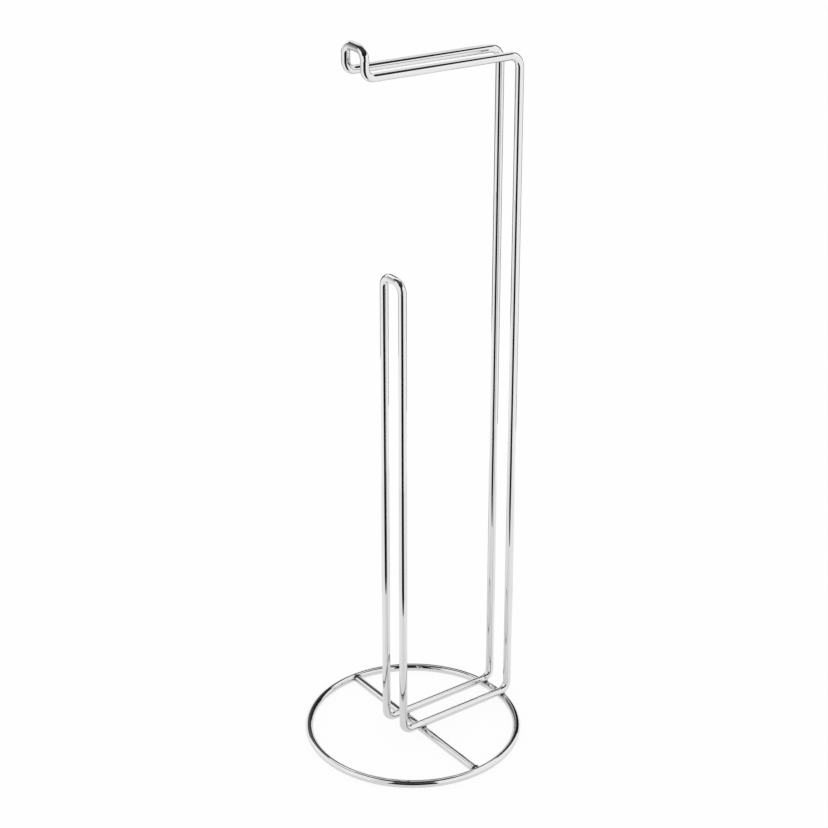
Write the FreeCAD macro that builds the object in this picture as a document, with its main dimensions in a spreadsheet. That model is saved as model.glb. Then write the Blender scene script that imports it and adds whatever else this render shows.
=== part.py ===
"""Free-standing toilet roll storage holder, bent from chromed round wire and welded.

A ring lies on the floor with a straight bar across it. One long closed loop of wire stands on both: its two
rails lie on the bar and the ring, its tall posts carry the arm for the roll in use, and its storage posts hold
the spare rolls. Millimetres, +Z up, origin on the floor at the ring's centre, arm pointing to -X.
"""
import FreeCAD
import Part
import Sketcher

import math
import os

Vector = FreeCAD.Vector

# Driving sizes in millimetres
SIZES = [
    ("wire_dia", 6.0, "wire stock of the ring, the bar and the loop"),
    ("ring_dia", 160.0, "floor ring, at the wire's centreline"),
    ("pair_spacing", 22.0, "front wire of the loop to its back wire, centre to centre"),
    ("storage_offset", 17.0, "ring's centre to the storage posts, towards -X"),
    ("bar_offset", 1.5, "ring's centre to the cross bar, towards +X"),
    ("bend_lead", 3.3, "end of the straight rail to the ring's centreline"),
    ("base_bend", 7.5, "bends between the rails and the posts, at the centreline"),
    ("arm_height", 526.2, "floor to the sharp corner of the arm and the tall post"),
    ("arm_reach", 130.5, "tall post to the arm's upturned end"),
    ("arm_rise", 7.6, "climb of the arm from the tall post to its upturned end"),
    ("arm_bend", 9.5, "bends between the tall posts and the arm"),
    ("upturn_height", 19.2, "top of the upturned end above the arm's sharp corner"),
    ("upturn_bend", 7.5, "bends between the arm and its upturned end"),
    ("arm_loop_bend", 6.8, "corners across the upturned end"),
    ("storage_height", 379.2, "floor to the centreline at the top of the storage posts"),
    ("storage_loop_bend", 8.0, "corners across the top of the storage posts"),
    ("set_down", 0.15, "depth that the rails are pressed into the ring by welding"),
    ("bar_bite", 1.5, "depth that the bar's ends are pressed into the ring's inner side"),
    ("seam_gap", 2.0, "length of each butt weld along the wire"),
    ("bead_dia", 5.8, "weld beads between the rails and the wires below them"),
    ("collar_wall", 0.9, "weld collars at the bar's ends, thickness round the bar"),
    ("collar_lift", 0.5, "floor to the ground underside of the weld collars"),
]

# Places that follow from the driving sizes
PLACES = [
    ("wire_radius", "Sizes.wire_dia / 2"),
    ("half_pair", "Sizes.pair_spacing / 2"),
    ("ring_radius", "Sizes.ring_dia / 2"),
    ("ring_cross", "sqrt(ring_radius ^ 2 - half_pair ^ 2)"),
    ("tall_post_x", "ring_cross - Sizes.bend_lead + Sizes.base_bend"),
    ("touch_reach", "Sizes.base_bend + Sizes.wire_dia - Sizes.set_down"),
    ("rail_level", "wire_radius + sqrt(touch_reach ^ 2 - Sizes.bend_lead ^ 2) - Sizes.base_bend"),
    ("arm_end_offset", "Sizes.arm_reach - tall_post_x"),
    ("upturn_top", "Sizes.arm_height + Sizes.arm_rise + Sizes.upturn_height"),
    ("storage_leg_top", "Sizes.storage_height - Sizes.storage_loop_bend"),
    ("ring_at_bar", "sqrt(ring_radius ^ 2 - Sizes.bar_offset ^ 2)"),
    ("collar_y", "ring_at_bar - wire_radius"),
    ("bar_half_length", "collar_y + Sizes.bar_bite"),
    ("collar_radius", "wire_radius + Sizes.collar_wall"),
    ("bead_share", "(Sizes.wire_dia - Sizes.set_down) / 2 / touch_reach"),
    ("ring_bead_x", "ring_cross - Sizes.bend_lead * bead_share"),
    ("ring_bead_z", "wire_radius + (rail_level + Sizes.base_bend - wire_radius) * bead_share"),
    ("bar_bead_z", "(rail_level + wire_radius) / 2"),
    ("seam_angle", "Sizes.seam_gap / ring_radius * 180 / pi"),
    ("frame_seam_x", "(Sizes.bar_offset + ring_cross) / 2"),
]

# Sketcher's numbers for the ends and centre of an edge, and for the sketch's origin
START, END, CENTRE = 1, 2, 3
ORIGIN = (-1, 1)


def fill_sheet(sheet, rows):
    """Writes one row per value: its name, the value itself under that alias, and a note if there is one."""
    for number, (name, value, *note) in enumerate(rows, 1):
        sheet.set(f"A{number}", name)
        sheet.set(f"B{number}", f"={value}" if isinstance(value, str) else str(value))
        sheet.setAlias(f"B{number}", name)
        for text in note:
            sheet.set(f"C{number}", text)


def size(name):
    """Returns a driving size or a derived place as a number."""
    for sheet in (sizes, places):
        if name in [row[0] for row in (SIZES if sheet is sizes else PLACES)]:
            return float(sheet.get(name))
    raise KeyError(name)


def bind(item, **expressions):
    """Binds properties to the sheets; a double underscore in a name stands for a dot."""
    for path, expression in expressions.items():
        item.setExpression(path.replace("__", "."), expression)


def new_sketch(body, name, role, **offset):
    """Attaches a sketch to one of the body's origin planes, moved by the bound offsets x, y and z."""
    sketch = body.newObject("Sketcher::SketchObject", name)
    plane = next(item for item in body.Origin.OriginFeatures if item.Role == role)
    sketch.AttachmentSupport = [(plane, "")]
    sketch.MapMode = "FlatFace"
    for axis, expression in offset.items():
        sketch.setExpression(f"AttachmentOffset.Base.{axis}", expression)
    return sketch


def constrain(sketch, kind, *where):
    """Adds a geometric constraint."""
    sketch.addConstraint(Sketcher.Constraint(kind, *where))


def dimension(sketch, kind, name, expression, value, *where):
    """Adds a named dimension and binds it to the sheets."""
    index = sketch.addConstraint(Sketcher.Constraint(kind, *where, value))
    sketch.renameConstraint(index, name)
    sketch.setExpression(f"Constraints.{name}", expression)


def wire_section(body, name, role, **offset):
    """Draws the round section of the wire, centred on the sketch's origin."""
    sketch = new_sketch(body, name, role, **offset)
    radius = size("wire_radius")
    circle = sketch.addGeometry(Part.Circle(Vector(), Vector(0, 0, 1), radius))
    constrain(sketch, "Coincident", circle, CENTRE, *ORIGIN)
    dimension(sketch, "Diameter", "wire", "Sizes.wire_dia", 2 * radius, circle)
    return sketch


def draw_bend(sketch, corner, before, after, radius):
    """Draws the arc that rounds a corner between two neighbouring points.

    Returns the arc's number, its ends in the order of travel, and the two points where it meets the runs.
    """
    inward = (corner - before).normalize()
    outward = (after - corner).normalize()
    tangent_length = radius * math.tan(inward.getAngle(outward) / 2)
    first = corner - inward * tangent_length
    last = corner + outward * tangent_length
    turns_left = inward.x * outward.y - inward.y * outward.x > 0
    side = Vector(-inward.y, inward.x) if turns_left else Vector(inward.y, -inward.x)
    centre = first + side * radius
    arc_from, arc_to = (first, last) if turns_left else (last, first)
    angles = [math.atan2(point.y - centre.y, point.x - centre.x) for point in (arc_from, arc_to)]
    arc = sketch.addGeometry(Part.ArcOfCircle(Part.Circle(centre, Vector(0, 0, 1), radius), *angles))
    ends = (START, END) if turns_left else (END, START)
    return arc, ends, first, last


def draw_bent_path(sketch, points, bends):
    """Draws straight runs joined by tangent bends through the sharp corners.

    bends gives each inner corner's radius by its alias in the sheet. Returns the numbers of the runs.
    """
    arcs = []
    stops = [points[0]]
    for index, alias in enumerate(bends, 1):
        arc = draw_bend(sketch, points[index], points[index - 1], points[index + 1], size(alias))
        arcs.append(arc)
        stops += arc[2:]
    stops.append(points[-1])
    runs = [
        sketch.addGeometry(Part.LineSegment(stops[index], stops[index + 1]))
        for index in range(0, len(stops), 2)
    ]
    for index, alias in enumerate(bends):
        arc, (first, last) = arcs[index][:2]
        constrain(sketch, "Tangent", runs[index], END, arc, first)
        constrain(sketch, "Tangent", arc, last, runs[index + 1], START)
        dimension(sketch, "Radius", f"bend_{index + 1}", f"Sizes.{alias}", size(alias), arc)
    return runs


def sharp_corner(sketch, point, run, next_run):
    """Marks the sharp corner where two runs would meet, so that it can carry dimensions."""
    mark = sketch.addGeometry(Part.Point(point), True)
    constrain(sketch, "PointOnObject", mark, START, run)
    constrain(sketch, "PointOnObject", mark, START, next_run)
    return mark


def pipe(body, name, section, path):
    """Sweeps a wire section along a path sketch."""
    feature = body.newObject("PartDesign::AdditivePipe", name)
    feature.Profile = section
    feature.Spine = path
    doc.recompute()
    return feature


def half_loop_path(body, name, plane_offset, top, bend):
    """Draws half of a rounded loop top: from the middle plane out to the front wire and round its corner."""
    sketch = new_sketch(body, name, "YZ_Plane", z=plane_offset)
    level, half, radius = size(top), size("half_pair"), size(bend)
    run = sketch.addGeometry(Part.LineSegment(Vector(0, level), Vector(radius - half, level)))
    corner = Vector(-half, level)
    arc, (first, last), *_ = draw_bend(sketch, corner, Vector(0, level), Vector(-half, 0), radius)
    constrain(sketch, "Horizontal", run)
    constrain(sketch, "PointOnObject", run, START, -2)
    constrain(sketch, "Tangent", run, END, arc, first)
    constrain(sketch, "Horizontal", arc, CENTRE, arc, last)
    source = "Sizes" if top in [row[0] for row in SIZES] else "Places"
    dimension(sketch, "DistanceY", "top", f"{source}.{top}", level, *ORIGIN, run, START)
    dimension(sketch, "DistanceX", "half_pair", "Places.half_pair", half, arc, last, *ORIGIN)
    dimension(sketch, "Radius", "corner", f"Sizes.{bend}", radius, arc)
    return sketch


def side_path(body):
    """Draws the front side of the loop: storage post, rail, tall post, arm and upturned end."""
    sketch = new_sketch(body, "side_path", "XZ_Plane", z="Places.half_pair")
    storage_x, tall_x = -size("storage_offset"), size("tall_post_x")
    arm_corner = Vector(tall_x, size("arm_height"))
    end_corner = arm_corner + Vector(-size("arm_reach"), size("arm_rise"))
    leg_length = size("upturn_height") - size("arm_loop_bend")
    points = [
        Vector(storage_x, size("storage_leg_top")),
        Vector(storage_x, size("rail_level")),
        Vector(tall_x, size("rail_level")),
        arm_corner,
        end_corner,
        end_corner + Vector(0, leg_length),
    ]
    runs = draw_bent_path(sketch, points, ["base_bend", "base_bend", "arm_bend", "upturn_bend"])
    storage, rail, tall, arm, upturn = runs
    for run in (storage, tall, upturn):
        constrain(sketch, "Vertical", run)
    constrain(sketch, "Horizontal", rail)
    arm_mark = sharp_corner(sketch, arm_corner, tall, arm)
    end_mark = sharp_corner(sketch, end_corner, arm, upturn)
    spans = [
        ("DistanceX", "storage_x", "Sizes.storage_offset", -storage_x, (storage, START), ORIGIN),
        ("DistanceY", "storage_top", "Places.storage_leg_top", points[0].y, ORIGIN, (storage, START)),
        ("DistanceY", "rail_level", "Places.rail_level", points[1].y, ORIGIN, (rail, START)),
        ("DistanceX", "tall_x", "Places.tall_post_x", tall_x, ORIGIN, (tall, START)),
        ("DistanceY", "arm_height", "Sizes.arm_height", arm_corner.y, ORIGIN, (arm_mark, START)),
        ("DistanceX", "arm_reach", "Sizes.arm_reach", size("arm_reach"), (end_mark, START), (arm_mark, START)),
        ("DistanceY", "arm_rise", "Sizes.arm_rise", size("arm_rise"), (arm_mark, START), (end_mark, START)),
        ("DistanceY", "upturn", "Sizes.upturn_height - Sizes.arm_loop_bend", leg_length,
         (end_mark, START), (upturn, END)),
    ]
    for kind, name, expression, value, start, end in spans:
        dimension(sketch, kind, name, expression, value, *start, *end)
    return sketch


def checked_cut(body, feature):
    """Makes a cut the body's tip and returns the volume that it took away; a cut that misses is an error."""
    before = feature.BaseFeature.Shape.Volume
    body.Tip = feature
    doc.recompute()
    removed = before - feature.Shape.Volume
    if removed <= 0:
        raise RuntimeError(f"{feature.Label} cuts nothing")
    return removed


def make_frame_wire():
    """One closed loop of bent wire: the front side and half of both loop tops, mirrored to the back."""
    body = doc.addObject("PartDesign::Body", "frame_wire")
    storage_section = wire_section(
        body, "storage_top_section", "XZ_Plane", x="-Sizes.storage_offset", y="Sizes.storage_height")
    storage_path = half_loop_path(
        body, "storage_top_path", "-Sizes.storage_offset", "storage_height", "storage_loop_bend")
    storage_top = pipe(body, "storage_top", storage_section, storage_path)

    side_section = wire_section(
        body, "side_section", "XY_Plane",
        x="-Sizes.storage_offset", y="-Places.half_pair", z="Places.storage_leg_top")
    side = pipe(body, "side", side_section, side_path(body))

    end_section = wire_section(
        body, "arm_end_section", "XZ_Plane", x="-Places.arm_end_offset", y="Places.upturn_top")
    end_path = half_loop_path(body, "arm_end_path", "-Places.arm_end_offset", "upturn_top", "arm_loop_bend")
    arm_end = pipe(body, "arm_end", end_section, end_path)

    back = body.newObject("PartDesign::Mirrored", "back_side")
    back.Originals = [storage_top, side, arm_end]
    back.MirrorPlane = (next(item for item in body.Origin.OriginFeatures if item.Role == "XZ_Plane"), [""])
    body.Tip = back
    doc.recompute()

    bar_seat = body.newObject("PartDesign::Pocket", "bar_seat")
    bar_seat.Profile = wire_section(
        body, "bar_seat_section", "XZ_Plane", x="Sizes.bar_offset", y="Places.wire_radius")
    bar_seat.Midplane = True
    bind(bar_seat, Length="Sizes.ring_dia")
    checked_cut(body, bar_seat)

    ring_seat = body.newObject("PartDesign::Groove", "ring_seat")
    ring_seat.Profile = wire_section(
        body, "ring_seat_section", "XZ_Plane", x="Places.ring_radius", y="Places.wire_radius")
    upright = next(item for item in body.Origin.OriginFeatures if item.Role == "Z_Axis")
    ring_seat.ReferenceAxis = (upright, [""])
    ring_seat.Angle = 360
    checked_cut(body, ring_seat)

    seam = body.newObject("PartDesign::Pocket", "seam_cut")
    seam.Profile = seam_slot(body)
    bind(seam, Length="Sizes.pair_spacing")
    checked_cut(body, seam)
    return body


def seam_slot(body):
    """Draws the slot across the back rail that its butt weld fills."""
    sketch = new_sketch(body, "seam_slot", "XZ_Plane", x="Places.frame_seam_x", y="Places.rail_level")
    half_gap, reach = size("seam_gap") / 2, size("wire_dia")
    corners = [Vector(x * half_gap, z * reach) for x, z in ((-1, -1), (1, -1), (1, 1), (-1, 1))]
    lines = [
        sketch.addGeometry(Part.LineSegment(corners[index], corners[(index + 1) % 4]))
        for index in range(4)
    ]
    for index, line in enumerate(lines):
        constrain(sketch, "Coincident", line, END, lines[(index + 1) % 4], START)
        constrain(sketch, "Vertical" if index % 2 else "Horizontal", line)
    constrain(sketch, "Symmetric", lines[0], START, lines[1], END, *ORIGIN)
    dimension(sketch, "DistanceX", "gap", "Sizes.seam_gap", 2 * half_gap, lines[0], START, lines[0], END)
    dimension(sketch, "DistanceY", "reach", "2 * Sizes.wire_dia", 2 * reach, lines[1], START, lines[1], END)
    return sketch


def make_ring_arc(name, angle, turn):
    """An arc of the floor ring's wire, its angle and its first end bound to the sheets."""
    arc = doc.addObject("Part::Torus", name)
    bind(arc, Radius1="Places.ring_radius", Radius2="Places.wire_radius", Angle3=angle,
         Placement__Base__z="Places.wire_radius", Placement__Rotation__Angle=turn)
    return arc


def make_rod(name, direction, length, **base):
    """A straight piece of wire along a direction, from a bound starting point."""
    rod = doc.addObject("Part::Cylinder", name)
    rod.Placement = FreeCAD.Placement(Vector(), FreeCAD.Rotation(Vector(0, 0, 1), direction))
    bind(rod, Radius="Places.wire_radius", Height=length)
    for axis, expression in base.items():
        rod.setExpression(f"Placement.Base.{axis}", expression)
    return rod


def cut(name, base, *tools):
    """Takes each tool's solid away from the base and returns the last cut, which has the given name."""
    for number, tool in enumerate(tools, 1):
        result = doc.addObject("Part::Cut", name if number == len(tools) else f"{name}_cut_{number}")
        result.Base = base
        result.Tool = tool
        base = result
    return base


def make_bead(name, wires, radius, underside=None, **base):
    """A round bead of weld metal, fitted to the wires that it joins; underside gives a ground-off latitude."""
    ball = doc.addObject("Part::Sphere", f"{name}_ball")
    bind(ball, Radius=radius)
    if underside:
        bind(ball, Angle1=underside)
    for axis, expression in base.items():
        ball.setExpression(f"Placement.Base.{axis}", expression)
    return cut(name, ball, *wires)


doc = FreeCAD.newDocument("toilet_roll_holder")
sizes = doc.addObject("Spreadsheet::Sheet", "Sizes")
places = doc.addObject("Spreadsheet::Sheet", "Places")
fill_sheet(sizes, SIZES)
fill_sheet(places, PLACES)
doc.recompute()

frame_wire = make_frame_wire()
base_ring = make_ring_arc("base_ring", "360 - Places.seam_angle", "Places.seam_angle / 2")
ring_seam_weld = make_ring_arc("ring_seam_weld", "Places.seam_angle", "-Places.seam_angle / 2")

bar_blank = make_rod(
    "bar_blank", Vector(0, 1, 0), "2 * Places.bar_half_length",
    x="Sizes.bar_offset", y="-Places.bar_half_length", z="Places.wire_radius")
cross_bar = cut("cross_bar", bar_blank, base_ring)
frame_seam_weld = make_rod(
    "frame_seam_weld", Vector(1, 0, 0), "Sizes.seam_gap",
    x="Places.frame_seam_x - Sizes.seam_gap / 2", y="Places.half_pair", z="Places.rail_level")

nodes = [base_ring, ring_seam_weld, cross_bar, frame_wire, frame_seam_weld]
ground_off = "-asin((Places.wire_radius - Sizes.collar_lift) / Places.collar_radius)"
for side_name, sign in (("front", "-"), ("back", "")):
    nodes.append(make_bead(
        f"ring_weld_{side_name}", (frame_wire, base_ring), "Sizes.bead_dia / 2",
        x="Places.ring_bead_x", y=f"{sign}Places.half_pair", z="Places.ring_bead_z"))
    nodes.append(make_bead(
        f"bar_weld_{side_name}", (frame_wire, cross_bar), "Sizes.bead_dia / 2",
        x="Sizes.bar_offset", y=f"{sign}Places.half_pair", z="Places.bar_bead_z"))
    nodes.append(make_bead(
        f"bar_end_weld_{side_name}", (base_ring, cross_bar), "Places.collar_radius", ground_off,
        x="Sizes.bar_offset", y=f"{sign}Places.collar_y", z="Places.wire_radius"))

doc.recompute()
for item in doc.Objects:
    if {"Invalid", "Error"} & set(item.State):
        raise RuntimeError(f"{item.Label} failed to build")
for node in nodes:
    if node.Shape.isNull() or not node.Shape.isValid() or len(node.Shape.Solids) != 1:
        raise RuntimeError(f"{node.Label} is not one sound solid")

os.makedirs("parts", exist_ok=True)
for node in nodes:
    node.Shape.exportStep(f"parts/{node.Label}.step")
    print(f"{node.Label}: {node.Shape.Volume:.1f} mm3")
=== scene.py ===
"""Models the toilet roll storage holder: three chromed wires and the welds that hold them together.

The stand is one long closed loop of wire on a ring with a bar across it. Each wire is bent here from a round
section, run by run, as a wire shop bends it. Each weld is a bead drawn into the corner between two wires.
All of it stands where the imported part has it. Lengths are in metres and angles in degrees.
"""

import logging
import math
from dataclasses import dataclass, field
from enum import Enum
from typing import Any, Sequence

import bmesh
import bpy
from mathutils import Matrix, Quaternion, Vector


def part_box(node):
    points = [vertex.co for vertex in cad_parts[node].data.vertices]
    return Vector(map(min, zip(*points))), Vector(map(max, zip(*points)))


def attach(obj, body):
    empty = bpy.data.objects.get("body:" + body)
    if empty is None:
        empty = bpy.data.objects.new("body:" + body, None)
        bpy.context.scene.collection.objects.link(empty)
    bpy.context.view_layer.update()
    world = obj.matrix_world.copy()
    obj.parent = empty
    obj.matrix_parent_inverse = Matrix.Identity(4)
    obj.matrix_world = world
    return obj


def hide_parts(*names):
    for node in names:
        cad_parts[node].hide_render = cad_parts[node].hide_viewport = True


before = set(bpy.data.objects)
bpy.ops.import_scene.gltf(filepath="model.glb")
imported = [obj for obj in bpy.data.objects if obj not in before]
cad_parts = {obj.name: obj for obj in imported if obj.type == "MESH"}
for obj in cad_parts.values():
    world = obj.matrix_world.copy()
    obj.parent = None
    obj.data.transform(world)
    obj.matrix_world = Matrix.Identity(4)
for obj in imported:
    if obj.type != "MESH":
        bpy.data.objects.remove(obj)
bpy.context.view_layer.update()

log = logging.getLogger("roll_stand")

BODY = "root"
STRAIGHT_WIRE = "straight_wire"

WIRE_RADIUS = 0.003
SECTION_POINTS = 64
LEAD = 0.0006
BEND_STEP = 4.5
RING_STEP = 1.5
SHARP_EDGE = 35.0
UP = Vector((0.0, 0.0, 1.0))
WHITE = (1.0, 1.0, 1.0, 1.0)


class Slot(Enum):
    """The record's material slots."""

    CHROMED_WIRE = "chromed_wire"
    PLATED_WELD = "plated_weld"


def middle_of(node: str) -> Vector:
    """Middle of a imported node's box."""
    low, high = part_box(node)
    return (low + high) / 2


def clear_selection() -> None:
    """Leaves nothing selected, so that the next operator touches only what it makes."""
    bpy.ops.object.select_all(action="DESELECT")


def pick(piece: bpy.types.Object) -> None:
    """Makes one object the only selected and active one.

    Args:
        piece: The object.
    """
    clear_selection()
    piece.select_set(True)
    bpy.context.view_layer.objects.active = piece


def added(name: str) -> bpy.types.Object:
    """Names the primitive that was just added, and puts its place into its mesh.

    Args:
        name: Name of the new object and its mesh.

    Returns:
        The object, at the origin.
    """
    bpy.ops.object.transform_apply(location=True, rotation=True, scale=True)
    piece = bpy.context.object
    piece.name = name
    piece.data.name = name
    return piece


def apply_modifier(piece: bpy.types.Object, kind: str, **settings: Any) -> None:
    """Adds one modifier and applies it.

    Args:
        piece: The object to change.
        kind: Blender's name of the modifier type.
        settings: The modifier's properties.
    """
    pick(piece)
    modifier = piece.modifiers.new(kind.lower(), kind)
    for key, value in settings.items():
        setattr(modifier, key, value)
    bpy.ops.object.modifier_apply(modifier=modifier.name)


def hand_over(piece: bpy.types.Object, node: str, material: bpy.types.Material) -> None:
    """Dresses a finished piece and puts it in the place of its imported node.

    Args:
        piece: The finished mesh object.
        node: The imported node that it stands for.
        material: Its finish.
    """
    piece.data.materials.clear()
    piece.data.materials.append(material)
    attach(piece, BODY)
    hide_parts(node)
    log.info("%s stands for %s with %d faces", piece.name, node, len(piece.data.polygons))


class NodeBoard:
    """The node tree of one material or world, filled in short lines."""

    def __init__(self, owner: bpy.types.Material | bpy.types.World) -> None:
        """Starts from an empty tree.

        Args:
            owner: The material or world whose nodes are laid out.
        """
        owner.use_nodes = True
        self.tree = owner.node_tree
        self.tree.nodes.clear()

    def add(self, kind: str, inputs: dict[str | int, Any] | None = None, **settings: Any) -> bpy.types.Node:
        """Adds one node.

        Args:
            kind: Blender's name of the node type, without its first word.
            inputs: What goes into its sockets, by name or number: a constant, or another node's output.
            settings: Its properties.

        Returns:
            The new node.
        """
        node = self.tree.nodes.new("ShaderNode" + kind)
        for key, value in settings.items():
            setattr(node, key, value)
        for socket, value in (inputs or {}).items():
            if isinstance(value, bpy.types.NodeSocket):
                self.tree.links.new(value, node.inputs[socket])
            else:
                node.inputs[socket].default_value = value
        return node

    def math(self, operation: str, first: Any, second: Any) -> bpy.types.NodeSocket:
        """Output of a Math node for two values, each a number or a socket."""
        return self.add("Math", {0: first, 1: second}, operation=operation).outputs[0]

    def spread(self, value: Any, start: float, end: float, low: float, high: float) -> bpy.types.NodeSocket:
        """Maps a value smoothly from one range to another.

        Args:
            value: The socket to map.
            start: Value that gives low.
            end: Value that gives high.
            low: Result at start.
            high: Result at end.

        Returns:
            The mapped value's socket.
        """
        node = self.add("MapRange", {"Value": value}, interpolation_type="SMOOTHSTEP")
        for socket, number in zip(("From Min", "From Max", "To Min", "To Max"), (start, end, low, high)):
            node.inputs[socket].default_value = number
        return node.outputs[0]

    def ramp(self, value: Any, low: Sequence[float], high: Sequence[float]) -> bpy.types.NodeSocket:
        """Colour between two, by a value from 0 to 1.

        Args:
            value: The socket that chooses.
            low: Colour at 0.
            high: Colour at 1.

        Returns:
            The colour's socket.
        """
        node = self.add("ValToRGB", {0: value})
        node.color_ramp.elements[0].color = (*low, 1.0)
        node.color_ramp.elements[1].color = (*high, 1.0)
        return node.outputs[0]

    def output(self, kind: str, shader: bpy.types.Node) -> None:
        """Links a shader to the tree's output node, which is of that kind."""
        self.add(kind, {"Surface": shader.outputs[0]})


@dataclass(frozen=True)
class ChromeFinish:
    """Bright plating over drawn wire, with a breath of haze, and duller where a weld heated it."""

    name: str
    tint: tuple[float, float, float] = (0.65, 0.65, 0.66)
    heated_tint: tuple[float, float, float] = (0.57, 0.57, 0.575)
    polish: float = 0.02
    haze: float = 0.05
    heated_haze: float = 0.05
    cloud_scale: float = 55.0
    cloud_detail: float = 4.0
    cloud_range: tuple[float, float] = (0.35, 0.72)
    cloud_dulling: float = 0.12
    line_scale: float = 2600.0
    line_detail: float = 2.0
    line_stretch: float = 0.012
    line_depth: float = 0.0000006
    swell_scale: float = 95.0
    swell_detail: float = 1.0
    swell_depth: float = 0.000006
    heat_core: float = 0.0034
    heat_reach: float = 0.0060
    heat_spots: tuple[str, ...] = ()

    def dulling(self, board: NodeBoard, place: bpy.types.NodeSocket,
                cloud: bpy.types.NodeSocket) -> bpy.types.NodeSocket:
        """How dull the plating is at a point, from 0 on clear wire to 1 beside a weld bead.

        Args:
            board: The material's nodes.
            place: Socket of the point's place in the frame.
            cloud: Socket of the haze on the plating, from 0 to 1.

        Returns:
            The dullness.
        """
        dull = board.math("MULTIPLY", cloud, self.cloud_dulling)
        for spot in self.heat_spots:
            gap = board.add("VectorMath", {0: place, 1: middle_of(spot)}, operation="DISTANCE")
            heat = board.spread(gap.outputs["Value"], self.heat_core, self.heat_reach, 1.0, 0.0)
            dull = board.math("MAXIMUM", dull, heat)
        return dull

    def material(self) -> bpy.types.Material:
        """Lays out the finish.

        Returns:
            The material.
        """
        made = bpy.data.materials.new(self.name)
        board = NodeBoard(made)
        place = board.add("TexCoord").outputs["Object"]
        wire = board.add("Attribute", attribute_name=STRAIGHT_WIRE).outputs["Vector"]

        clouds = board.add("TexNoise", {"Vector": place, "Scale": self.cloud_scale,
                                        "Detail": self.cloud_detail})
        cloud = board.spread(clouds.outputs[0], *self.cloud_range, 0.0, 1.0)
        dull = self.dulling(board, place, cloud)
        haze = board.spread(cloud, 0.0, 1.0, self.polish, self.haze)
        warmth = board.spread(dull, self.cloud_dulling, 1.0, 0.0, self.heated_haze)
        tint = board.ramp(dull, self.tint, self.heated_tint)

        along = board.add("Mapping", {"Vector": wire, "Scale": (1.0, 1.0, self.line_stretch)})
        lines = board.add("TexNoise", {"Vector": along.outputs[0], "Scale": self.line_scale,
                                       "Detail": self.line_detail})
        swell = board.add("TexNoise", {"Vector": wire, "Scale": self.swell_scale,
                                       "Detail": self.swell_detail})
        drawn = board.add("Bump", {"Height": lines.outputs[0], "Distance": self.line_depth})
        waved = board.add("Bump", {"Height": swell.outputs[0], "Distance": self.swell_depth,
                                   "Normal": drawn.outputs[0]})

        roughness = board.math("ADD", haze, warmth)
        metal = board.add("BsdfPrincipled", {"Base Color": tint, "Metallic": 1.0, "Roughness": roughness,
                                             "Normal": waved.outputs[0]})
        board.output("OutputMaterial", metal)
        return made


@dataclass(frozen=True)
class WeldFinish:
    """Plating over weld metal: uneven and duller than the wire, with near-black patches at random places
    that are painted shade for the crevices where the wires meet.
    """

    name: str
    bright: tuple[float, float, float] = (0.52, 0.52, 0.53)
    # The dull colour is duller weld metal darkened to near black: painted shade for the crevices between the
    # wires.
    dull: tuple[float, float, float] = (0.05, 0.05, 0.05)
    smooth: float = 0.07
    rough: float = 0.22
    unevenness_and_shade_scale: float = 900.0
    unevenness_and_shade_range: tuple[float, float] = (0.20, 0.46)
    noise_detail: float = 3.0
    grain_scale: float = 2400.0
    grain_depth: float = 0.00003

    def material(self) -> bpy.types.Material:
        """Lays out the finish.

        Returns:
            The material.
        """
        made = bpy.data.materials.new(self.name)
        board = NodeBoard(made)
        place = board.add("TexCoord").outputs["Object"]
        noise = {"Vector": place, "Detail": self.noise_detail}
        unevenness_and_shade = board.add("TexNoise", {**noise, "Scale": self.unevenness_and_shade_scale})
        grain = board.add("TexNoise", {**noise, "Scale": self.grain_scale})
        # Random patches that turn the weld rougher, which is real unevenness, and near black, which is
        # painted shade for its crevices.
        share = board.spread(unevenness_and_shade.outputs[0], *self.unevenness_and_shade_range, 0.0, 1.0)
        tint = board.ramp(share, self.bright, self.dull)
        roughness = board.spread(share, 0.0, 1.0, self.smooth, self.rough)
        lumpy = board.add("Bump", {"Height": grain.outputs[0], "Distance": self.grain_depth})
        metal = board.add("BsdfPrincipled", {"Base Color": tint, "Metallic": 1.0, "Roughness": roughness,
                                             "Normal": lumpy.outputs[0]})
        board.output("OutputMaterial", metal)
        return made


@dataclass(frozen=True)
class GlowFinish:
    """A lit or dark studio card, at one level or at two that run together along an axis."""

    name: str
    level: float
    end_level: float | None = None
    span: tuple[float, float] = (0.0, 1.0)
    axis: tuple[float, float, float] = (0.0, 0.0, 1.0)

    def material(self) -> bpy.types.Material:
        """Lays out the finish.

        Returns:
            The material.
        """
        made = bpy.data.materials.new(self.name)
        board = NodeBoard(made)
        glow = board.add("Emission", {"Color": WHITE, "Strength": self.level})
        if self.end_level is not None:
            place = board.add("TexCoord").outputs["Object"]
            along = board.add("VectorMath", {0: place, 1: self.axis}, operation="DOT_PRODUCT")
            level = board.spread(along.outputs["Value"], *self.span, self.level, self.end_level)
            board.tree.links.new(level, glow.inputs["Strength"])
        board.output("OutputMaterial", glow)
        return made


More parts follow.
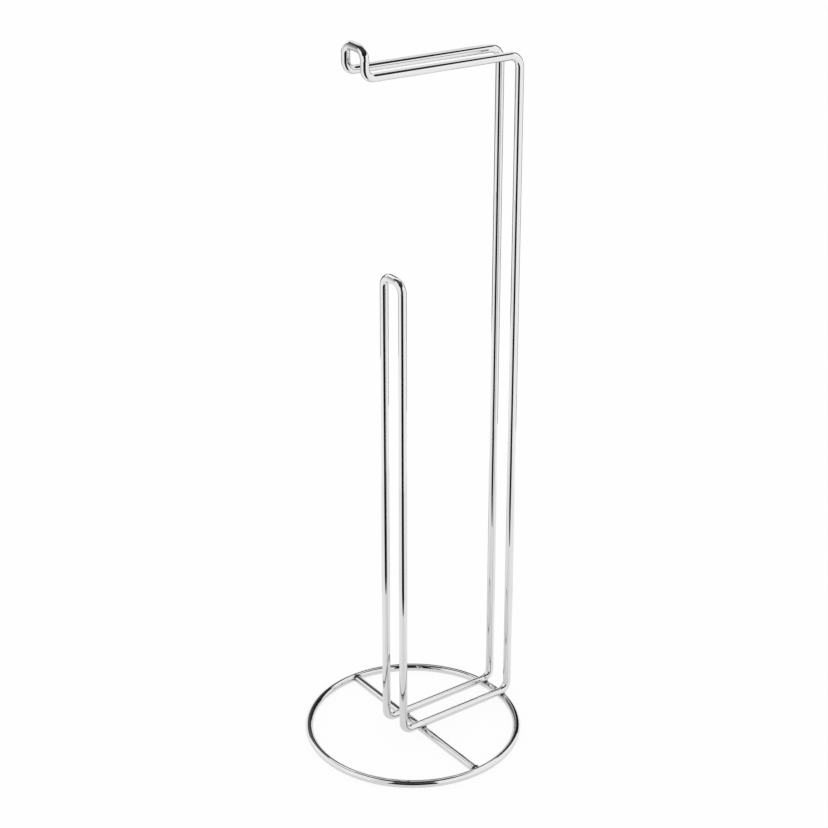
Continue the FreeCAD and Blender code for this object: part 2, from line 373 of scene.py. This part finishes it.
@dataclass(frozen=True)
class FloorFinish:
    """Paper that the camera and the chrome see as white, with part of the stand's shadow left on it."""

    name: str
    paper: tuple[float, float, float] = (0.90, 0.90, 0.90)
    whitening: float = 0.92

    def material(self) -> bpy.types.Material:
        """Lays out the finish.

        Returns:
            The material.
        """
        made = bpy.data.materials.new(self.name)
        board = NodeBoard(made)
        rays = board.add("LightPath")
        seen = board.math("MAXIMUM", rays.outputs["Is Camera Ray"], rays.outputs["Is Glossy Ray"])
        seen = board.math("MAXIMUM", seen, rays.outputs["Is Transmission Ray"])
        share = board.math("MULTIPLY", seen, self.whitening)
        paper = board.add("BsdfDiffuse", {"Color": (*self.paper, 1.0)})
        white = board.add("Emission", {"Color": WHITE, "Strength": 1.0})
        both = board.add("MixShader", {0: share, 1: paper.outputs[0], 2: white.outputs[0]})
        board.output("OutputMaterial", both)
        return made


@dataclass(frozen=True)
class Corner:
    """A sharp corner of a wire's route, and the radius that the wire's middle is bent to there."""

    place: Vector
    radius: float


class WireBender:
    """Bends one round wire from its first cut end, and notes where each point was on the straight wire."""

    def __init__(self, name: str, start: Vector, heading: Vector, side: Vector) -> None:
        """Cuts the first end.

        Args:
            name: Name of the wire.
            start: Middle of the end.
            heading: Direction in which the wire is fed.
            side: Direction square to it, for the first axis of the section.
        """
        self.place = start.copy()
        self.heading = heading.normalized()
        self.side = side.normalized()
        self.fed = 0.0
        turn = Matrix((self.side, self.heading.cross(self.side), self.heading)).transposed().to_euler()
        clear_selection()
        bpy.ops.mesh.primitive_circle_add(vertices=SECTION_POINTS, radius=WIRE_RADIUS, location=start,
                                          rotation=turn, fill_type="NOTHING")
        self.wire = added(name)
        self.wire.data.attributes.new(STRAIGHT_WIRE, "FLOAT_VECTOR", "POINT")
        bpy.ops.object.mode_set(mode="EDIT")
        bpy.ops.mesh.select_mode(type="VERT")
        bpy.ops.mesh.select_all(action="SELECT")
        self.note()

    def note(self) -> None:
        """Writes on the newest section where its points were on the straight wire."""
        grid = bmesh.from_edit_mesh(self.wire.data)
        straight = grid.verts.layers.float_vector[STRAIGHT_WIRE]
        lift = self.heading.cross(self.side)
        for vert in grid.verts:
            if vert.select:
                offset = vert.co - self.place
                vert[straight] = Vector((offset.dot(self.side), offset.dot(lift), self.fed))

    def feed(self, length: float) -> None:
        """Draws one more section out along the heading.

        Args:
            length: How far.
        """
        step = self.heading * length
        bpy.ops.mesh.extrude_region_move(TRANSFORM_OT_translate={"value": tuple(step)})
        self.place = self.place + step
        self.fed += length
        self.note()

    def run(self, length: float, lead: float = LEAD) -> None:
        """Feeds a straight run, with a lead at each end that keeps the shading of a bend or cut out of it.

        Args:
            length: Length of the run.
            lead: Length of each lead.
        """
        lead = min(lead, length / 3)
        for part in (lead, length - 2 * lead, lead):
            self.feed(part)

    def bend(self, radius: float, angle: float, toward: Vector, step: float = BEND_STEP) -> None:
        """Bends the wire round a former.

        Args:
            radius: Radius of the wire's middle.
            angle: How far it turns.
            toward: Direction of the former's middle, square to the heading.
            step: Largest turn from one section to the next.
        """
        centre = self.place + toward * radius
        axis = self.heading.cross(toward)
        count = math.ceil(angle / step)
        part = math.radians(angle / count)
        turn = Quaternion(axis, part)
        for _ in range(count):
            bpy.ops.mesh.spin(steps=1, angle=part, center=tuple(centre), axis=tuple(-axis))
            self.heading.rotate(turn)
            self.side.rotate(turn)
            self.place = centre + turn @ (self.place - centre)
            self.fed += radius * part
            self.note()

    def follow(self, route: Sequence[Corner], end: Vector) -> None:
        """Feeds and bends along a route of sharp corners.

        Args:
            route: The corners in order.
            end: Middle of the wire's last end.
        """
        ahead = [corner.place for corner in route[1:]] + [end]
        for corner, after in zip(route, ahead):
            leaving = (after - corner.place).normalized()
            angle = self.heading.angle(leaving)
            reach = corner.radius * math.tan(angle / 2)
            toward = (leaving - self.heading * leaving.dot(self.heading)).normalized()
            self.run((corner.place - self.place).length - reach)
            self.bend(corner.radius, math.degrees(angle), toward)
        self.run((end - self.place).length)

    def crown(self, share: float) -> None:
        """Resizes the newest section of a lying wire by a share of its size, about its lowest point."""
        foot = self.place - UP * WIRE_RADIUS
        bpy.ops.transform.resize(value=(share, share, share), center_override=tuple(foot))

    def cut_off(self) -> bpy.types.Object:
        """Closes both ends and leaves the wire smooth.

        Returns:
            The finished wire.
        """
        bpy.ops.mesh.edge_face_add()
        bpy.ops.mesh.select_all(action="DESELECT")
        grid = bmesh.from_edit_mesh(self.wire.data)
        grid.verts.ensure_lookup_table()
        for vert in grid.verts[:SECTION_POINTS]:
            vert.select_set(True)
        grid.select_flush_mode()
        bpy.ops.mesh.edge_face_add()
        bpy.ops.mesh.select_all(action="SELECT")
        bpy.ops.mesh.normals_make_consistent(inside=False)
        bpy.ops.object.mode_set(mode="OBJECT")
        bpy.ops.object.shade_smooth_by_angle(angle=math.radians(SHARP_EDGE))
        return self.wire


@dataclass
class BaseRing:
    """The ring on the floor: one rolled wire and the ground butt weld that closes it."""

    node: str = "base_ring"
    seam_node: str = "ring_seam_weld"
    seam_swell: float = 1.008
    seam_slices: int = 6
    ring_radius: float = field(init=False)
    half_gap: float = field(init=False)

    def __post_init__(self) -> None:
        """Reads the ring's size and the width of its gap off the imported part."""
        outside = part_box(self.seam_node)[1].x
        self.ring_radius = outside - WIRE_RADIUS
        seam_low, seam_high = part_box(self.seam_node)
        self.half_gap = math.degrees(math.asin((seam_high.y - seam_low.y) / 2 / outside))

    def bender_at(self, name: str, angle: float) -> WireBender:
        """A bender that starts on the ring's line at an angle from the X axis and feeds round it.

        Args:
            name: Name of the wire.
            angle: Angle of the start.

        Returns:
            The bender.
        """
        outward = Vector((math.cos(math.radians(angle)), math.sin(math.radians(angle)), 0.0))
        start = outward * self.ring_radius + UP * WIRE_RADIUS
        return WireBender(name, start, UP.cross(outward), outward)

    def build_wire(self) -> bpy.types.Object:
        """Rolls the ring from one side of its gap to the other.

        Returns:
            The ring.
        """
        bender = self.bender_at("ring_wire", self.half_gap)
        bender.bend(self.ring_radius, 360.0 - 2 * self.half_gap, -bender.side, RING_STEP)
        return bender.cut_off()

    def build_seam(self) -> bpy.types.Object:
        """Fills the gap with a slug of weld that was ground almost flush.

        Returns:
            The slug.
        """
        bender = self.bender_at("ring_seam", -self.half_gap)
        for number in range(1, self.seam_slices + 1):
            bender.bend(self.ring_radius, 2 * self.half_gap / self.seam_slices, -bender.side)
            bender.crown(seam_crown(number, self.seam_slices, self.seam_swell))
        return bender.cut_off()


def seam_crown(number: int, slices: int, swell: float) -> float:
    """Growth from one section of a seam slug to the next, so that it swells to its middle and back.

    Args:
        number: Number of the section, from 1.
        slices: How many slices the slug has.
        swell: Size of the middle section, as a share of the wire.

    Returns:
        Size of the section as a share of the one before it.
    """
    sizes = [1.0 + (swell - 1.0) * math.sin(math.pi * place / slices) for place in (number - 1, number)]
    return sizes[1] / sizes[0]


@dataclass
class CrossBar:
    """The straight bar across the ring, coped to the ring's inside at both ends."""

    node: str = "cross_bar"
    overlap: float = 0.0009
    end_lead: float = 0.006

    def build(self, ring: bpy.types.Object) -> bpy.types.Object:
        """Cuts the bar a little long and copes it to the ring.

        Args:
            ring: The ring that it fits into.

        Returns:
            The bar.
        """
        low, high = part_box(self.node)
        start = Vector(((low.x + high.x) / 2, low.y - self.overlap, WIRE_RADIUS))
        bender = WireBender("bar_wire", start, Vector((0.0, 1.0, 0.0)), Vector((1.0, 0.0, 0.0)))
        bender.run(high.y - low.y + 2 * self.overlap, self.end_lead)
        bar = bender.cut_off()
        apply_modifier(bar, "BOOLEAN", operation="DIFFERENCE", object=ring, solver="EXACT")
        bpy.ops.object.shade_smooth_by_angle(angle=math.radians(SHARP_EDGE))
        return bar


@dataclass
class LongLoop:
    """The closed loop: base rails, tall posts, arm with an upturned end, and storage posts, all one wire."""

    node: str = "frame_wire"
    seam_node: str = "frame_seam_weld"
    storage_x: float = -0.017
    storage_top: float = 0.3792
    arm_level: float = 0.5262
    arm_rise: float = 0.0076
    base_bend: float = 0.0075
    arm_bend: float = 0.0095
    upturn_bend: float = 0.0075
    arm_loop_bend: float = 0.0068
    storage_loop_bend: float = 0.008
    seam_swell: float = 1.008
    seam_slices: int = 6

    def __post_init__(self) -> None:
        """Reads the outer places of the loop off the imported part."""
        low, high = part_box(self.node)
        seam_low, seam_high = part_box(self.seam_node)
        self.half_pair = high.y - WIRE_RADIUS
        self.rail_level = low.z + WIRE_RADIUS
        self.tall_x = high.x - WIRE_RADIUS
        self.arm_end_x = low.x + WIRE_RADIUS
        self.upturn_top = high.z - WIRE_RADIUS
        self.seam_ends = (seam_low.x, seam_high.x)

    def side_route(self, y: float) -> list[Corner]:
        """Corners of one side of the loop, from the base up the tall post to the end of the arm.

        Args:
            y: Where that side stands.

        Returns:
            The corners in order.
        """
        return [
            Corner(Vector((self.tall_x, y, self.rail_level)), self.base_bend),
            Corner(Vector((self.tall_x, y, self.arm_level)), self.arm_bend),
            Corner(Vector((self.arm_end_x, y, self.arm_level + self.arm_rise)), self.upturn_bend),
            Corner(Vector((self.arm_end_x, y, self.upturn_top)), self.arm_loop_bend),
        ]

    def storage_route(self, y: float) -> list[Corner]:
        """Corners of one storage post, from the base up to its rounded top."""
        return [Corner(Vector((self.storage_x, y, self.rail_level)), self.base_bend),
                Corner(Vector((self.storage_x, y, self.storage_top)), self.storage_loop_bend)]

    def build_wire(self) -> bpy.types.Object:
        """Bends the whole loop from one side of its seam, on the back rail, round to the other.

        Returns:
            The loop.
        """
        back, front = self.half_pair, -self.half_pair
        route = self.side_route(back) + self.side_route(front)[::-1]
        route += self.storage_route(front) + self.storage_route(back)[::-1]
        end, start = (Vector((x, back, self.rail_level)) for x in self.seam_ends)
        bender = WireBender("loop_wire", start, Vector((1.0, 0.0, 0.0)), Vector((0.0, 1.0, 0.0)))
        bender.follow(route, end)
        return bender.cut_off()

    def build_seam(self) -> bpy.types.Object:
        """Fills the loop's gap with a slug of weld that was ground almost flush.

        Returns:
            The slug.
        """
        start = Vector((self.seam_ends[0], self.half_pair, self.rail_level))
        bender = WireBender("loop_seam", start, Vector((1.0, 0.0, 0.0)), Vector((0.0, 1.0, 0.0)))
        for number in range(1, self.seam_slices + 1):
            bender.feed((self.seam_ends[1] - self.seam_ends[0]) / self.seam_slices)
            bender.crown(seam_crown(number, self.seam_slices, self.seam_swell))
        return bender.cut_off()


@dataclass
class WeldBead:
    """Weld metal in the corner where two wires meet, drawn out along both of them."""

    name: str
    node: str
    bead_size: Vector
    reach: float = 0.0062
    reach_roundness: int = 4
    shrink: float = 0.00012
    drop_facets: tuple[int, int] = (28, 16)
    unevenness: float = 0.00045
    unevenness_shares: tuple[float, float] = (0.3, 0.7)
    softness: float = 0.5
    drop_softening: int = 3
    voxel: float = 0.00017
    bead_softening: int = 14
    skin_voxel: float = 0.00011
    skin_softening: int = 3
    floor_gap: float = 0.0004
    seed: int = 1

    def stub(self, wire: bpy.types.Object) -> bpy.types.Object:
        """A short length of a wire round the weld, drawn in a little below the wire's own surface.

        Args:
            wire: The whole wire.

        Returns:
            The stub.
        """
        clear_selection()
        bpy.ops.mesh.primitive_ico_sphere_add(subdivisions=self.reach_roundness, radius=self.reach,
                                              location=middle_of(self.node))
        piece = added(self.name)
        apply_modifier(piece, "BOOLEAN", operation="INTERSECT", object=wire, solver="EXACT")
        apply_modifier(piece, "DISPLACE", strength=-self.shrink, mid_level=0.0)
        return piece

    def lump(self) -> bpy.types.Object:
        """The uneven drop of metal at the middle of the weld.

        Returns:
            The drop.
        """
        clear_selection()
        segments, rings = self.drop_facets
        bpy.ops.mesh.primitive_uv_sphere_add(segments=segments, ring_count=rings, radius=1.0,
                                             location=middle_of(self.node))
        bpy.context.object.scale = self.bead_size
        piece = added(self.name)
        bpy.ops.object.mode_set(mode="EDIT")
        bpy.ops.mesh.select_all(action="SELECT")
        any_way, outward = self.unevenness_shares
        bpy.ops.transform.vertex_random(offset=self.unevenness, uniform=any_way, normal=outward,
                                        seed=self.seed)
        bpy.ops.mesh.vertices_smooth(factor=self.softness, repeat=self.drop_softening)
        bpy.ops.object.mode_set(mode="OBJECT")
        return piece

    def build(self, wires: Sequence[bpy.types.Object]) -> bpy.types.Object:
        """Runs the drop and the two stubs together, and takes the wires out of the result.

        Args:
            wires: The two wires that the weld joins.

        Returns:
            The bead.
        """
        bead = self.lump()
        stubs = [self.stub(wire) for wire in wires]
        pick(bead)
        for stub in stubs:
            stub.select_set(True)
        bpy.ops.object.join()
        apply_modifier(bead, "REMESH", mode="VOXEL", voxel_size=self.voxel)
        apply_modifier(bead, "SMOOTH", factor=self.softness, iterations=self.bead_softening)
        for wire in wires:
            apply_modifier(bead, "BOOLEAN", operation="DIFFERENCE", object=wire, solver="EXACT")
        self.grind(bead)
        apply_modifier(bead, "REMESH", mode="VOXEL", voxel_size=self.skin_voxel)
        apply_modifier(bead, "SMOOTH", factor=self.softness, iterations=self.skin_softening)
        self.clean(bead)
        return bead

    def grind(self, bead: bpy.types.Object) -> None:
        """Grinds the bead clear of the floor.

        Args:
            bead: The bead's object.
        """
        pick(bead)
        bpy.ops.object.mode_set(mode="EDIT")
        bpy.ops.mesh.select_all(action="SELECT")
        bpy.ops.mesh.bisect(plane_co=(0.0, 0.0, self.floor_gap), plane_no=(0.0, 0.0, 1.0), use_fill=True,
                            clear_inner=True)
        bpy.ops.object.mode_set(mode="OBJECT")

    def clean(self, bead: bpy.types.Object) -> None:
        """Drops crumbs and leaves one closed smooth mesh.

        Args:
            bead: The bead's object.
        """
        bpy.ops.object.mode_set(mode="EDIT")
        keep_largest_shell(bead)
        bpy.ops.mesh.select_all(action="SELECT")
        bpy.ops.mesh.normals_make_consistent(inside=False)
        bpy.ops.object.mode_set(mode="OBJECT")
        bpy.ops.object.shade_smooth_by_angle(angle=math.radians(SHARP_EDGE))


def keep_largest_shell(piece: bpy.types.Object) -> None:
    """Deletes every loose part of a mesh in edit mode but the one with the most points.

    Args:
        piece: The object in edit mode.
    """
    grid = bmesh.from_edit_mesh(piece.data)
    unseen = set(grid.verts)
    shells: list[set[bmesh.types.BMVert]] = []
    while unseen:
        shell, waiting = set(), [unseen.pop()]
        while waiting:
            vert = waiting.pop()
            shell.add(vert)
            fresh = {edge.other_vert(vert) for edge in vert.link_edges} & unseen
            unseen -= fresh
            waiting.extend(fresh)
        shells.append(shell)
    largest = max(shells, key=len)
    bpy.ops.mesh.select_all(action="DESELECT")
    for vert in grid.verts:
        vert.select_set(vert not in largest)
    grid.select_flush_mode()
    bpy.ops.mesh.delete(type="VERT")


@dataclass(frozen=True)
class Panel:
    """A dark or dim stretch of the tent's wall, from one bearing to another, and how much it glows."""

    name: str
    start: float
    end: float
    foot: float
    top: float
    level: float


@dataclass
class Studio:
    """White floor, a plain soft light, a round white tent that shows only in the chrome, and the camera.

    Places in the tent are measured from the ring's middle, to the camera's right and towards the camera, and
    bearings from the way towards the camera, with the camera's right as 90.
    """

    # Camera and floor
    camera_place: Vector = field(default_factory=lambda: Vector((-0.88245, -1.20495, 1.01130)))
    aim: Vector = field(default_factory=lambda: Vector((0.00067, -0.00049, 0.26991)))
    lens: float = 100.415
    floor_size: float = 24.0

    # Lit walls of the tent, open at the front up to one height
    tent_radius: float = 0.42
    tent_sides: int = 180
    tent_top: float = 1.03
    right_wall_top: float = 0.755
    left_wall_top: float = 0.80
    wall_rise: tuple[float, float] = (0.45, 0.72)
    wall_levels: tuple[float, float] = (1.25, 1.36)
    opening: tuple[float, float] = (-37.0, 23.0)
    opening_top: float = 0.45
    gap_start: float = -24.0

    # Dark and dim stretches of the walls
    panels: tuple[Panel, ...] = (
        Panel("front_gap", -24.0, 26.0, 0.43, 1.03, 0.015),
        Panel("front_gap_left", -48.0, -24.0, 0.64, 0.80, 0.03),
        Panel("front_gap_right", 26.0, 34.0, 0.62, 0.755, 0.03),
        Panel("right_band", 26.0, 124.0, 0.755, 1.03, 0.03),
        Panel("left_band", -140.0, -24.0, 0.80, 1.03, 0.03),
        Panel("rear_gap_right", 126.0, 158.0, 0.07, 0.46, 0.015),
        Panel("rear_gap_middle", 158.0, 172.0, 0.14, 0.46, 0.03),
        Panel("rear_gap_back", 172.0, 192.0, 0.16, 0.62, 0.07),
        Panel("rear_gap_left", 192.0, 236.0, 0.13, 0.46, 0.13),
    )
    card_inset: float = 0.01
    left_shade: tuple[float, float] = (-117.0, -85.0)
    left_shade_heights: tuple[float, float] = (0.30, 0.74)
    left_shade_levels: tuple[float, float] = (1.0, 0.2)

    # Ceiling, with a window at the back
    window_front: float = -0.28
    window_level: float = 1.32
    ceiling_level: float = 0.06

    # Cards on the floor
    card_lifts: tuple[float, float] = (0.0002, 0.0004)
    wedge_depths: tuple[float, float] = (0.205, 2.0)
    wedge_edges: tuple[tuple[float, float], ...] = ((-0.14, 0.105), (-1.507, 0.849))
    rear_floor_depths: tuple[float, float] = (-0.42, -0.15)
    rear_floor_half: float = 0.20
    rear_floor_level: float = 0.75
    floor_side_span: tuple[float, float] = (0.03, 0.15)
    floor_side_levels: tuple[float, float] = (1.0, 1.16)

    # Dark cards beside the arm's bends and beyond the opening
    dark_level: float = 0.015
    bend_shade_feet: tuple[tuple[float, float], ...] = ((0.160, -0.111), (0.108, -0.151))
    bend_shade_heights: tuple[float, float] = (0.505, 0.60)
    outer_depth: float = 2.05
    outer_low: tuple[float, float] = (-0.90, 1.045)
    outer_high: tuple[float, float] = (-0.81, 1.045)
    outer_heights: tuple[float, ...] = (0.0, 0.9, 2.4)

    def __post_init__(self) -> None:
        """Works out which way the camera's right and the way towards it are on the floor."""
        back = self.camera_place - self.aim
        self.toward = Vector((back.x, back.y, 0.0)).normalized()
        self.right = UP.cross(self.toward)

    def at(self, right: float, toward: float, height: float) -> Vector:
        """A place in the tent."""
        return self.right * right + self.toward * toward + UP * height

    def bearing(self, place: Vector) -> float:
        """Bearing of a place, from 0 to 360."""
        return math.degrees(math.atan2(place.dot(self.right), place.dot(self.toward))) % 360.0

    def only_in_chrome(self, card: bpy.types.Object, material: bpy.types.Material) -> None:
        """Dresses a card and hides it from all but mirror rays.

        Args:
            card: The card.
            material: Its finish.
        """
        card.data.materials.append(material)
        card.visible_camera = False
        card.visible_diffuse = False
        card.visible_shadow = False
        card.visible_transmission = False

    def flat_card(self, name: str, corners: Sequence[tuple[float, float, float]]) -> bpy.types.Object:
        """Lays out a flat four-cornered card.

        Args:
            name: Name of the card.
            corners: Its corners, row by row, as places in the tent.

        Returns:
            The card.
        """
        clear_selection()
        bpy.ops.mesh.primitive_plane_add(size=1.0)
        made = added(name)
        for vert, corner in zip(made.data.vertices, corners):
            vert.co = self.at(*corner)
        return made

    def lying_card(self, name: str, sides: tuple[float, float], depths: tuple[float, float],
                   height: float) -> bpy.types.Object:
        """Lays out a card flat at one height.

        Args:
            name: Name of the card.
            sides: Its two edges, to the camera's right.
            depths: Its two ends, towards the camera.
            height: How high it lies.

        Returns:
            The card.
        """
        return self.flat_card(name, [(side, depth, height) for depth in depths for side in sides])

    def curved_wall(self, name: str, bearings: tuple[float, float], heights: tuple[float, float],
                    material: bpy.types.Material, inset: float = 0.0) -> None:
        """Stands a stretch of the tent's round wall.

        Args:
            name: Name of the wall.
            bearings: Where it starts and ends.
            heights: Its lower and upper edges.
            material: Its finish.
            inset: How far it stands inside the tent's radius.
        """
        low, high = heights
        clear_selection()
        bpy.ops.mesh.primitive_cylinder_add(vertices=self.tent_sides, radius=self.tent_radius - inset,
                                            depth=high - low, location=(0.0, 0.0, (low + high) / 2),
                                            end_fill_type="NOTHING")
        made = added(name)
        bpy.ops.object.mode_set(mode="EDIT")
        bpy.ops.mesh.select_mode(type="FACE")
        bpy.ops.mesh.select_all(action="DESELECT")
        grid = bmesh.from_edit_mesh(made.data)
        span = (bearings[1] - bearings[0]) % 360.0
        for face in grid.faces:
            turn = (self.bearing(face.calc_center_median()) - bearings[0]) % 360.0
            face.select_set(turn > span)
        bpy.ops.mesh.delete(type="FACE")
        bpy.ops.object.mode_set(mode="OBJECT")
        self.only_in_chrome(made, material)

    def build_tent(self) -> None:
        """Stands the lit walls with the dim and dark panels on them, and hangs the ceiling."""
        lit = GlowFinish("tent_cloth", *self.wall_levels, span=self.wall_rise).material()
        low, high = self.left_shade_heights
        shade = GlowFinish("left_shade", *self.left_shade_levels, span=(low, high)).material()
        left, right = self.opening
        right_top, left_top = self.right_wall_top, self.left_wall_top

        self.curved_wall("right_wall", (right, 180.0), (0.0, right_top), lit)
        self.curved_wall("left_wall", (180.0, left), (0.0, left_top), lit)
        self.curved_wall("over_opening", (left, self.gap_start), (self.opening_top, left_top), lit)
        self.curved_wall("left_shade", self.left_shade, (low, left_top), shade, self.card_inset)
        for panel in self.panels:
            self.curved_wall(panel.name, (panel.start, panel.end), (panel.foot, panel.top),
                             GlowFinish(panel.name, panel.level).material(), self.card_inset)

        width = self.tent_radius
        for name, depths, level in (("ceiling_front", (self.window_front, width), self.ceiling_level),
                                    ("ceiling_window", (-width, self.window_front), self.window_level)):
            card = self.lying_card(name, (-width, width), depths, self.tent_top)
            self.only_in_chrome(card, GlowFinish(name, level).material())

    def build_tent_floor(self) -> None:
        """Lays the lit and dark cards on the floor, and stands the dark cards off the walls."""
        under, over = self.card_lifts
        dark = GlowFinish("dark_gap", self.dark_level).material()
        dim = GlowFinish("rear_shade", self.rear_floor_level).material()
        wedge = [(side, depth, over) for depth, edges in zip(self.wedge_depths, self.wedge_edges)
                 for side in edges]
        self.only_in_chrome(self.flat_card("floor_wedge", wedge), dark)
        rear_sides = (-self.rear_floor_half, self.rear_floor_half)
        self.only_in_chrome(self.lying_card("rear_floor", rear_sides, self.rear_floor_depths, over), dim)

        width, start = self.tent_radius, self.floor_side_span[0]
        for name, sign in (("floor_side_right", 1.0), ("floor_side_left", -1.0)):
            lit = GlowFinish(name, *self.floor_side_levels, span=self.floor_side_span,
                             axis=tuple(self.right * sign)).material()
            card = self.lying_card(name, (sign * start, sign * width), (-width, width), under)
            self.only_in_chrome(card, lit)

        shade = [(*edge, height) for height in self.bend_shade_heights for edge in self.bend_shade_feet]
        self.only_in_chrome(self.flat_card("bend_shade", shade), dark)

        foot, middle, top = self.outer_heights
        for name, sides, heights in (("outer_low", self.outer_low, (foot, middle)),
                                     ("outer_high", self.outer_high, (middle, top))):
            corners = [(side, self.outer_depth, height) for height in heights for side in sides]
            self.only_in_chrome(self.flat_card(name, corners), dark)

    def build_floor(self) -> None:
        """Lays the white floor."""
        half = self.floor_size / 2
        floor = self.lying_card("floor", (-half, half), (-half, half), 0.0)
        floor.data.materials.append(FloorFinish("floor_paper").material())

    def light(self) -> None:
        """Lights the stand evenly from all round, at the level where white renders as white."""
        world = bpy.data.worlds.new("soft_light")
        bpy.context.scene.world = world
        board = NodeBoard(world)
        board.output("OutputWorld", board.add("Background", {"Color": WHITE, "Strength": 1.0}))
        bpy.context.scene.view_settings.view_transform = "Standard"

    def place_camera(self) -> None:
        """Stands the camera where the photograph was taken from."""
        camera = bpy.data.objects.new("camera", bpy.data.cameras.new("camera"))
        camera.data.lens = self.lens
        camera.location = self.camera_place
        camera.rotation_euler = (self.aim - self.camera_place).to_track_quat("-Z", "Y").to_euler()
        bpy.context.scene.collection.objects.link(camera)
        bpy.context.scene.camera = camera

    def build(self) -> None:
        """Sets up the whole studio."""
        self.build_floor()
        self.build_tent()
        self.build_tent_floor()
        self.light()
        self.place_camera()


@dataclass
class RollStand:
    """The whole stand: ring, bar and loop, with the welds that join them."""

    ring: BaseRing = field(default_factory=BaseRing)
    bar: CrossBar = field(default_factory=CrossBar)
    loop: LongLoop = field(default_factory=LongLoop)
    crossing_bead: Vector = field(default_factory=lambda: Vector((0.0029, 0.0029, 0.0013)))
    bar_end_bead: Vector = field(default_factory=lambda: Vector((0.0036, 0.0021, 0.0029)))
    ground_haze: float = 0.12

    def build(self) -> None:
        """Builds and dresses every piece."""
        ring_spots = ("ring_weld_front", "ring_weld_back", "bar_end_weld_front", "bar_end_weld_back")
        bar_spots = ("bar_weld_front", "bar_weld_back", "bar_end_weld_front", "bar_end_weld_back")
        loop_spots = ("ring_weld_front", "ring_weld_back", "bar_weld_front", "bar_weld_back")
        # The weld finish carries painted shade for the crevices between the wires, in its near-black
        # patches.
        weld_plating_and_shade = WeldFinish("weld_plating").material()
        ground_weld = ChromeFinish("ground_weld_plating", haze=self.ground_haze).material()

        ring = self.ring.build_wire()
        bar = self.bar.build(ring)
        loop = self.loop.build_wire()
        ring_seam = self.ring.build_seam()
        loop_seam = self.loop.build_seam()
        beads = self.build_beads(ring, bar, loop)

        hand_over(ring, self.ring.node,
                  ChromeFinish("ring_chrome", heat_spots=ring_spots).material())
        hand_over(bar, self.bar.node,
                  ChromeFinish("bar_chrome", heat_spots=bar_spots).material())
        hand_over(loop, self.loop.node,
                  ChromeFinish("loop_chrome", heat_spots=loop_spots).material())
        hand_over(ring_seam, self.ring.seam_node, ground_weld)
        hand_over(loop_seam, self.loop.seam_node, ground_weld)
        for node, bead in beads.items():
            hand_over(bead, node, weld_plating_and_shade)

    def build_beads(self, ring: bpy.types.Object, bar: bpy.types.Object,
                    loop: bpy.types.Object) -> dict[str, bpy.types.Object]:
        """Draws the six beads where wires meet.

        Args:
            ring: The ring's wire.
            bar: The bar's wire.
            loop: The long loop's wire.

        Returns:
            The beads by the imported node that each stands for.
        """
        beads: dict[str, bpy.types.Object] = {}
        kinds = (("ring", (ring, loop), self.crossing_bead), ("bar", (bar, loop), self.crossing_bead),
                 ("bar_end", (bar, ring), self.bar_end_bead))
        for kind, wires, size in kinds:
            for side in ("front", "back"):
                node = f"{kind}_weld_{side}"
                bead = WeldBead(f"{kind}_bead_{side}", node, size, seed=len(beads) + 1)
                beads[node] = bead.build(wires)
        return beads


def main() -> None:
    """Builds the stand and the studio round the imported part."""
    logging.basicConfig(level=logging.INFO, format="%(name)s: %(message)s")
    log.info("the packed part has %d nodes", len(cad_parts))
    RollStand().build()
    Studio().build()


if __name__ == "__main__":
    main()
